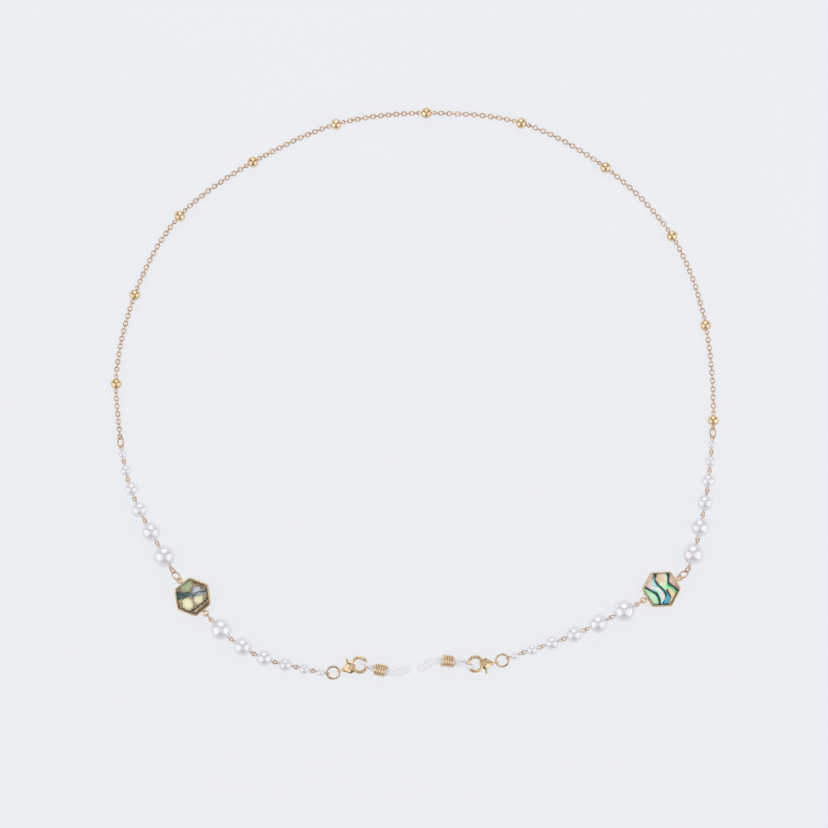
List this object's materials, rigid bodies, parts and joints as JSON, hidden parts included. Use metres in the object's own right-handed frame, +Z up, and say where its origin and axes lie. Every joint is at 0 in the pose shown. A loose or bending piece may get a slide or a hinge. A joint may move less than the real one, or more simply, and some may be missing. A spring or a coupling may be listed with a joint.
{
  "type": "eyeglasses chain strap",
  "caption": "Strap worn on spectacles: gold cable chain with ball stations, graded pearl strands, hexagonal shell links, lobster clasps and silicone temple loops.",
  "frame": {"origin": "centre of the strap's extent, on the surface that it lies on", "axes": "+X to the right along the longest extent, +Y away from the two temple loops, +Z up from the surface"},
  "size_m": [0.2214, 0.2084, 0.008],
  "materials": {
    "gold": "polished plating",
    "pearl": "glossy pearl coating",
    "shell": "iridescent shell",
    "clear_resin": "clear polished",
    "silicone": "translucent satin",
    "spring_steel": "plain"
  },
  "bodies": {
    "chain_run_01": {"chain_run_01": "gold"},
    "chain_run_02": {"chain_run_02": "gold"},
    "chain_run_03": {"chain_run_03": "gold"},
    "chain_run_04": {"chain_run_04": "gold"},
    "chain_run_05": {"chain_run_05": "gold"},
    "chain_run_06": {"chain_run_06": "gold"},
    "chain_run_07": {"chain_run_07": "gold"},
    "chain_run_08": {"chain_run_08": "gold"},
    "chain_run_09": {"chain_run_09": "gold"},
    "chain_run_10": {"chain_run_10": "gold"},
    "chain_run_11": {"chain_run_11": "gold"},
    "left_upper_pearl_3mm": {"left_upper_pearl_3mm": "pearl"},
    "left_upper_pearl_4mm": {"left_upper_pearl_4mm": "pearl"},
    "left_upper_pearl_5mm": {"left_upper_pearl_5mm": "pearl"},
    "left_upper_pearl_6mm": {"left_upper_pearl_6mm": "pearl"},
    "left_upper_pearl_7mm": {"left_upper_pearl_7mm": "pearl"},
    "left_upper_pearl_8mm": {"left_upper_pearl_8mm": "pearl"},
    "left_lower_pearl_8mm": {"left_lower_pearl_8mm": "pearl"},
    "left_lower_pearl_7mm": {"left_lower_pearl_7mm": "pearl"},
    "left_lower_pearl_6mm": {"left_lower_pearl_6mm": "pearl"},
    "left_lower_pearl_5mm": {"left_lower_pearl_5mm": "pearl"},
    "left_lower_pearl_4mm": {"left_lower_pearl_4mm": "pearl"},
    "left_lower_pearl_3mm": {"left_lower_pearl_3mm": "pearl"},
    "right_upper_pearl_3mm": {"right_upper_pearl_3mm": "pearl"},
    "right_upper_pearl_4mm": {"right_upper_pearl_4mm": "pearl"},
    "right_upper_pearl_5mm": {"right_upper_pearl_5mm": "pearl"},
    "right_upper_pearl_6mm": {"right_upper_pearl_6mm": "pearl"},
    "right_upper_pearl_7mm": {"right_upper_pearl_7mm": "pearl"},
    "right_upper_pearl_8mm": {"right_upper_pearl_8mm": "pearl"},
    "right_lower_pearl_8mm": {"right_lower_pearl_8mm": "pearl"},
    "right_lower_pearl_7mm": {"right_lower_pearl_7mm": "pearl"},
    "right_lower_pearl_6mm": {"right_lower_pearl_6mm": "pearl"},
    "right_lower_pearl_5mm": {"right_lower_pearl_5mm": "pearl"},
    "right_lower_pearl_4mm": {"right_lower_pearl_4mm": "pearl"},
    "right_lower_pearl_3mm": {"right_lower_pearl_3mm": "pearl"},
    "left_chain_ring": {"left_chain_ring": "gold"},
    "left_hex_ring": {"left_hex_ring": "gold"},
    "left_clasp_ring": {"left_clasp_ring": "gold"},
    "right_chain_ring": {"right_chain_ring": "gold"},
    "right_hex_ring": {"right_hex_ring": "gold"},
    "right_clasp_ring": {"right_clasp_ring": "gold"},
    "left_hex": {"left_hex_bezel": "gold", "left_hex_shell_inlay": "shell", "left_hex_clear_dome": "clear_resin"},
    "right_hex": {"right_hex_bezel": "gold", "right_hex_shell_inlay": "shell", "right_hex_clear_dome": "clear_resin"},
    "left_clasp": {"left_clasp_body": "gold", "left_clasp_rivet": "gold", "left_clasp_spring": "spring_steel"},
    "left_clasp_lever": {"left_clasp_lever": "gold"},
    "left_silicone_loop": {"left_silicone_loop": "silicone"},
    "left_grip_coil": {"left_grip_coil": "gold"},
    "right_clasp": {"right_clasp_body": "gold", "right_clasp_rivet": "gold", "right_clasp_spring": "spring_steel"},
    "right_clasp_lever": {"right_clasp_lever": "gold"},
    "right_silicone_loop": {"right_silicone_loop": "silicone"},
    "right_grip_coil": {"right_grip_coil": "gold"}
  },
  "joints": [
    {"name": "run_05_swing", "type": "hinge", "parent": "chain_run_06", "child": "chain_run_05", "pos_m": [-0.02558, 0.09897, 0.00201], "axis": [0, 0, -1], "range_deg": [0, 25]},
    {"name": "run_04_lift", "type": "hinge", "parent": "chain_run_05", "child": "chain_run_04", "pos_m": [-0.0561, 0.08593, 0.00201], "axis": [-0.4844, 0.8749, 0], "range_deg": [-25, 25]},
    {"name": "run_03_swing", "type": "hinge", "parent": "chain_run_04", "child": "chain_run_03", "pos_m": [-0.08337, 0.06705, 0.00201], "axis": [0, 0, -1], "range_deg": [0, 25]},
    {"name": "run_02_lift", "type": "hinge", "parent": "chain_run_03", "child": "chain_run_02", "pos_m": [-0.10083, 0.039, 0.00201], "axis": [0.928, -0.3725, 0], "range_deg": [-25, 25]},
    {"name": "run_01_swing", "type": "hinge", "parent": "chain_run_02", "child": "chain_run_01", "pos_m": [-0.10865, 0.0068, 0.00201], "axis": [0, 0, -1], "range_deg": [0, 25]},
    {"name": "left_chain_ring_lift", "type": "hinge", "parent": "chain_run_01", "child": "left_chain_ring", "pos_m": [-0.10727, -0.01634, 0.002], "axis": [-0.8697, -0.0283, -0.4928], "range_deg": [-15, 25]},
    {"name": "left_upper_pearl_3mm_swing", "type": "hinge", "parent": "left_chain_ring", "child": "left_upper_pearl_3mm", "pos_m": [-0.10692, -0.01906, 0.00151], "axis": [0.4964, 0.0631, -0.8658], "range_deg": [0, 25]},
    {"name": "left_upper_pearl_4mm_lift", "type": "hinge", "parent": "left_upper_pearl_3mm", "child": "left_upper_pearl_4mm", "pos_m": [-0.10598, -0.02475, 0.00164], "axis": [0.8323, 0.2429, 0.4983], "range_deg": [-25, 25]},
    {"name": "left_upper_pearl_5mm_swing", "type": "hinge", "parent": "left_upper_pearl_4mm", "child": "left_upper_pearl_5mm", "pos_m": [-0.10444, -0.03114, 0.00224], "axis": [0.4947, 0.0993, -0.8634], "range_deg": [0, 25]},
    {"name": "left_upper_pearl_6mm_lift", "type": "hinge", "parent": "left_upper_pearl_5mm", "child": "left_upper_pearl_6mm", "pos_m": [-0.10196, -0.0383, 0.00288], "axis": [-0.7817, -0.3727, -0.5], "range_deg": [-25, 25]},
    {"name": "left_upper_pearl_7mm_swing", "type": "hinge", "parent": "left_upper_pearl_6mm", "child": "left_upper_pearl_7mm", "pos_m": [-0.09829, -0.04608, 0.00294], "axis": [0.4914, 0.1475, -0.8583], "range_deg": [0, 25]},
    {"name": "left_upper_pearl_8mm_lift", "type": "hinge", "parent": "left_upper_pearl_7mm", "child": "left_upper_pearl_8mm", "pos_m": [-0.09358, -0.05434, 0.00433], "axis": [0.7832, 0.3729, 0.4975], "range_deg": [-20, 25]},
    {"name": "left_hex_ring_swing", "type": "hinge", "parent": "left_upper_pearl_8mm", "child": "left_hex_ring", "pos_m": [-0.08761, -0.06512, 0.00158], "axis": [0.128, 0.7753, -0.6185], "range_deg": [0, 25]},
    {"name": "left_hex_lift", "type": "hinge", "parent": "left_hex_ring", "child": "left_hex", "pos_m": [-0.08623, -0.06724, 0.00244], "axis": [-0.6413, -0.6023, -0.4754], "range_deg": [-25, 25]},
    {"name": "left_lower_pearl_8mm_swing", "type": "hinge", "parent": "left_hex", "child": "left_lower_pearl_8mm", "pos_m": [-0.07541, -0.08066, 0.00254], "axis": [0, 0, 1], "range_deg": [-22, 22]},
    {"name": "left_lower_pearl_7mm_lift", "type": "hinge", "parent": "left_lower_pearl_8mm", "child": "left_lower_pearl_7mm", "pos_m": [-0.0666, -0.0893, 0.00413], "axis": [0.5253, 0.6905, 0.4972], "range_deg": [-25, 7]},
    {"name": "left_lower_pearl_6mm_swing", "type": "hinge", "parent": "left_lower_pearl_7mm", "child": "left_lower_pearl_6mm", "pos_m": [-0.0587, -0.09459, 0.00304], "axis": [0.1669, 0.4716, -0.8659], "range_deg": [-22, 22]},
    {"name": "left_lower_pearl_5mm_lift", "type": "hinge", "parent": "left_lower_pearl_6mm", "child": "left_lower_pearl_5mm", "pos_m": [-0.05074, -0.09772, 0.00286], "axis": [-0.2427, -0.8323, -0.4984], "range_deg": [-25, 25]},
    {"name": "left_lower_pearl_4mm_swing", "type": "hinge", "parent": "left_lower_pearl_5mm", "child": "left_lower_pearl_4mm", "pos_m": [-0.04341, -0.09949, 0.0022], "axis": [-0.0556, -0.5, 0.8643], "range_deg": [-22, 22]},
    {"name": "left_lower_pearl_3mm_lift", "type": "hinge", "parent": "left_lower_pearl_4mm", "child": "left_lower_pearl_3mm", "pos_m": [-0.03702, -0.10093, 0.00175], "axis": [0.2043, 0.8424, 0.4986], "range_deg": [-25, 25]},
    {"name": "left_clasp_ring_swing", "type": "hinge", "parent": "left_lower_pearl_3mm", "child": "left_clasp_ring", "pos_m": [-0.03152, -0.10201, 0.00129], "axis": [-0.0202, 0.2607, -0.9652], "range_deg": [-12, 22]},
    {"name": "left_clasp_lift", "type": "hinge", "parent": "left_clasp_ring", "child": "left_clasp", "pos_m": [-0.02783, -0.10118, 0.00145], "axis": [0.3712, -0.9285, 0], "range_deg": [-25, 25]},
    {"name": "left_clasp_lever_open", "type": "hinge", "parent": "left_clasp", "child": "left_clasp_lever", "pos_m": [-0.02361, -0.09978, 0.00189], "axis": [-0.1057, -0.0343, 0.9938], "range_deg": [0, 25], "stiffness_Nm_per_rad": 0.0005, "springref_deg": -20.05},
    {"name": "left_loop_swing", "type": "hinge", "parent": "left_clasp", "child": "left_silicone_loop", "pos_m": [-0.01965, -0.09749, 0.0026], "axis": [0, 0, 1], "range_deg": [-15, 15]},
    {"name": "left_coil_slide", "type": "slide", "parent": "left_silicone_loop", "child": "left_grip_coil", "axis": [0.9659, -0.2588, 0], "range_m": [-0.0004, 0.0005]},
    {"name": "run_07_swing", "type": "hinge", "parent": "chain_run_06", "child": "chain_run_07", "pos_m": [0.00744, 0.1022, 0.002], "axis": [0, 0, 1], "range_deg": [0, 25]},
    {"name": "run_08_lift", "type": "hinge", "parent": "chain_run_07", "child": "chain_run_08", "pos_m": [0.04188, 0.0976, 0.002], "axis": [0.3379, 0.9412, 0], "range_deg": [-25, 25]},
    {"name": "run_09_swing", "type": "hinge", "parent": "chain_run_08", "child": "chain_run_09", "pos_m": [0.07206, 0.08038, 0.002], "axis": [0, 0, 1], "range_deg": [0, 25]},
    {"name": "run_10_lift", "type": "hinge", "parent": "chain_run_09", "child": "chain_run_10", "pos_m": [0.0954, 0.05472, 0.002], "axis": [-0.8724, -0.4888, 0], "range_deg": [-25, 25]},
    {"name": "run_11_swing", "type": "hinge", "parent": "chain_run_10", "child": "chain_run_11", "pos_m": [0.10653, 0.02182, 0.002], "axis": [0, 0, 1], "range_deg": [0, 25]},
    {"name": "right_chain_ring_lift", "type": "hinge", "parent": "chain_run_11", "child": "right_chain_ring", "pos_m": [0.10859, -0.01287, 0.00205], "axis": [0.8701, 0.0463, -0.4907], "range_deg": [-25, 1]},
    {"name": "right_upper_pearl_3mm_swing", "type": "hinge", "parent": "right_chain_ring", "child": "right_upper_pearl_3mm", "pos_m": [0.10844, -0.01559, 0.00148], "axis": [0.5004, -0.0146, 0.8657], "range_deg": [0, 25]},
    {"name": "right_upper_pearl_4mm_lift", "type": "hinge", "parent": "right_upper_pearl_3mm", "child": "right_upper_pearl_4mm", "pos_m": [0.10799, -0.02134, 0.00166], "axis": [-0.8576, 0.1272, 0.4984], "range_deg": [-25, 25]},
    {"name": "right_upper_pearl_5mm_swing", "type": "hinge", "parent": "right_upper_pearl_4mm", "child": "right_upper_pearl_5mm", "pos_m": [0.10732, -0.02789, 0.00223], "axis": [0.5047, 0.0047, 0.8633], "range_deg": [0, 25]},
    {"name": "right_upper_pearl_6mm_lift", "type": "hinge", "parent": "right_upper_pearl_5mm", "child": "right_upper_pearl_6mm", "pos_m": [0.10636, -0.0354, 0.00289], "axis": [0.8524, -0.1531, -0.5], "range_deg": [-25, 25]},
    {"name": "right_upper_pearl_7mm_swing", "type": "hinge", "parent": "right_upper_pearl_6mm", "child": "right_upper_pearl_7mm", "pos_m": [0.10486, -0.04387, 0.00294], "axis": [0.5132, 0.0011, 0.8583], "range_deg": [0, 25]},
    {"name": "right_upper_pearl_8mm_lift", "type": "hinge", "parent": "right_upper_pearl_7mm", "child": "right_upper_pearl_8mm", "pos_m": [0.10275, -0.05314, 0.00434], "axis": [-0.8447, 0.1976, 0.4975], "range_deg": [-25, 23]},
    {"name": "right_hex_ring_swing", "type": "hinge", "parent": "right_upper_pearl_8mm", "child": "right_hex_ring", "pos_m": [0.09884, -0.06477, 0.00158], "axis": [0.1141, -0.7775, 0.6185], "range_deg": [0, 25]},
    {"name": "right_hex_lift", "type": "hinge", "parent": "right_hex_ring", "child": "right_hex", "pos_m": [0.09712, -0.06662, 0.00244], "axis": [0.5284, -0.7034, -0.4754], "range_deg": [-25, 25]},
    {"name": "right_lower_pearl_8mm_swing", "type": "hinge", "parent": "right_hex", "child": "right_lower_pearl_8mm", "pos_m": [0.08245, -0.07568, 0.00254], "axis": [0, 0, 1], "range_deg": [-22, 22]},
    {"name": "right_lower_pearl_7mm_lift", "type": "hinge", "parent": "right_lower_pearl_8mm", "child": "right_lower_pearl_7mm", "pos_m": [0.07121, -0.08144, 0.00414], "axis": [-0.4209, 0.7585, 0.4975], "range_deg": [-1, 25]},
    {"name": "right_lower_pearl_6mm_swing", "type": "hinge", "parent": "right_lower_pearl_7mm", "child": "right_lower_pearl_6mm", "pos_m": [0.06212, -0.08581, 0.00303], "axis": [-0.1829, 0.4656, -0.8659], "range_deg": [-22, 22]},
    {"name": "right_lower_pearl_5mm_lift", "type": "hinge", "parent": "right_lower_pearl_6mm", "child": "right_lower_pearl_5mm", "pos_m": [0.05373, -0.0894, 0.00286], "axis": [0.3239, -0.8041, -0.4986], "range_deg": [-25, 25]},
    {"name": "right_lower_pearl_4mm_swing", "type": "hinge", "parent": "right_lower_pearl_5mm", "child": "right_lower_pearl_4mm", "pos_m": [0.04609, -0.0921, 0.0022], "axis": [0.1077, -0.4908, 0.8646], "range_deg": [-22, 22]},
    {"name": "right_lower_pearl_3mm_lift", "type": "hinge", "parent": "right_lower_pearl_4mm", "child": "right_lower_pearl_3mm", "pos_m": [0.03932, -0.09431, 0.00176], "axis": [-0.3364, 0.7988, 0.4988], "range_deg": [-25, 25]},
    {"name": "right_clasp_ring_swing", "type": "hinge", "parent": "right_lower_pearl_3mm", "child": "right_clasp_ring", "pos_m": [0.03371, -0.09641, 0.0013], "axis": [-0.1304, 0.2263, -0.9653], "range_deg": [-22, 22]},
    {"name": "right_clasp_lift", "type": "hinge", "parent": "right_clasp_ring", "child": "right_clasp", "pos_m": [0.03011, -0.09788, 0.00145], "axis": [0.262, -0.9651, 0], "range_deg": [-25, 25]},
    {"name": "right_clasp_lever_open", "type": "hinge", "parent": "right_clasp", "child": "right_clasp_lever", "pos_m": [0.02569, -0.09821, 0.00189], "axis": [0.111, 0.0058, 0.9938], "range_deg": [0, 25], "stiffness_Nm_per_rad": 0.0005, "springref_deg": -20.05},
    {"name": "right_loop_swing", "type": "hinge", "parent": "right_clasp", "child": "right_silicone_loop", "pos_m": [0.02127, -0.0994, 0.0026], "axis": [0, 0, -1], "range_deg": [-15, 15]},
    {"name": "right_coil_slide", "type": "slide", "parent": "right_silicone_loop", "child": "right_grip_coil", "axis": [-0.9945, 0.1045, 0], "range_m": [-0.0004, 0.0005]}
  ]
}
